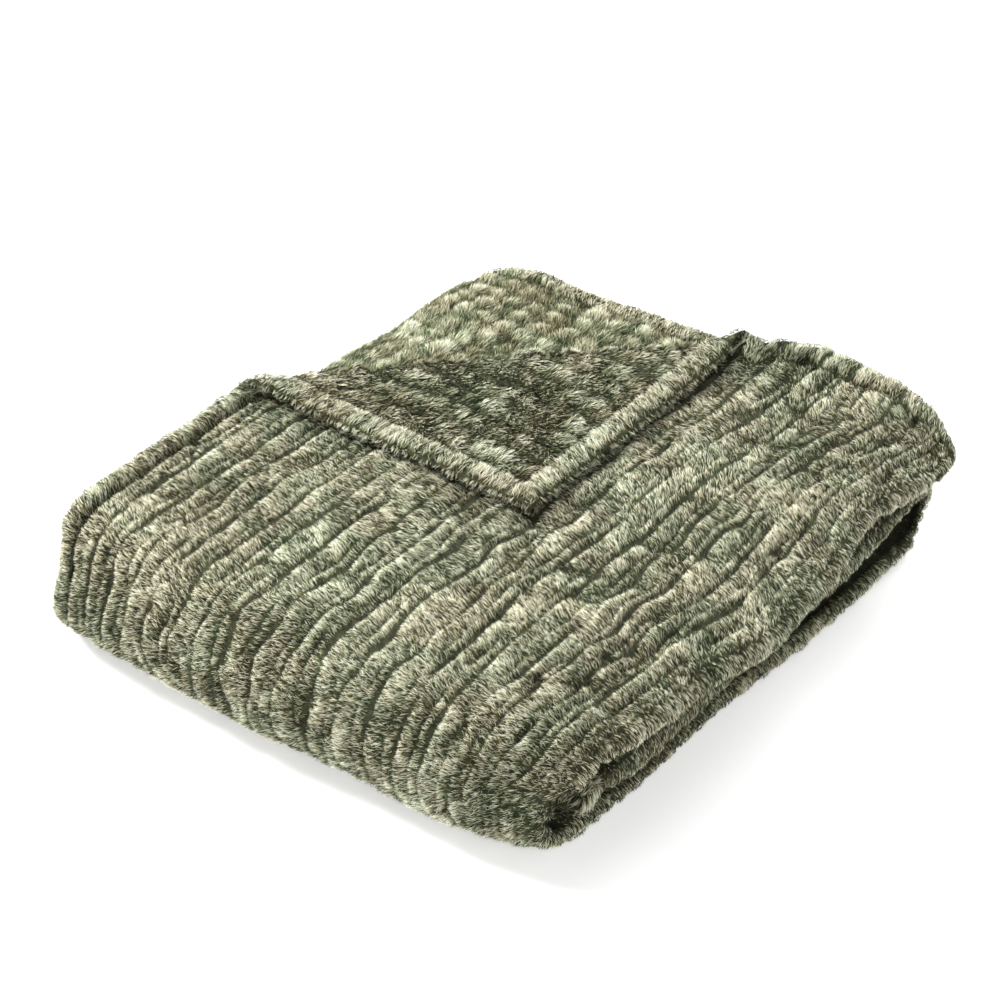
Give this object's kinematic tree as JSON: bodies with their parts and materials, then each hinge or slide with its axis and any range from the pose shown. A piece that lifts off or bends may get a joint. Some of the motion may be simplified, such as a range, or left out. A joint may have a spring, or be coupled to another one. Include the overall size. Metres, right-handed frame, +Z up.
{
  "type": "folded flannel throw",
  "caption": "Ribbed plush flannel throw, folded in thirds both ways into a soft stack, with one top corner turned back.",
  "frame": {"origin": "on the ground, under the middle of the folded stack", "axes": "+X across the ribs towards the folded lips, +Y along the ribs from the tall front fold to the back, +Z up"},
  "size_m": [0.43, 0.4988, 0.1179],
  "materials": {
    "plush": "soft sage green pile, mottled with beige and taupe, with pale frosted tips"
  },
  "bodies": {
    "root": {"throw": "plush"}
  },
  "joints": []
}
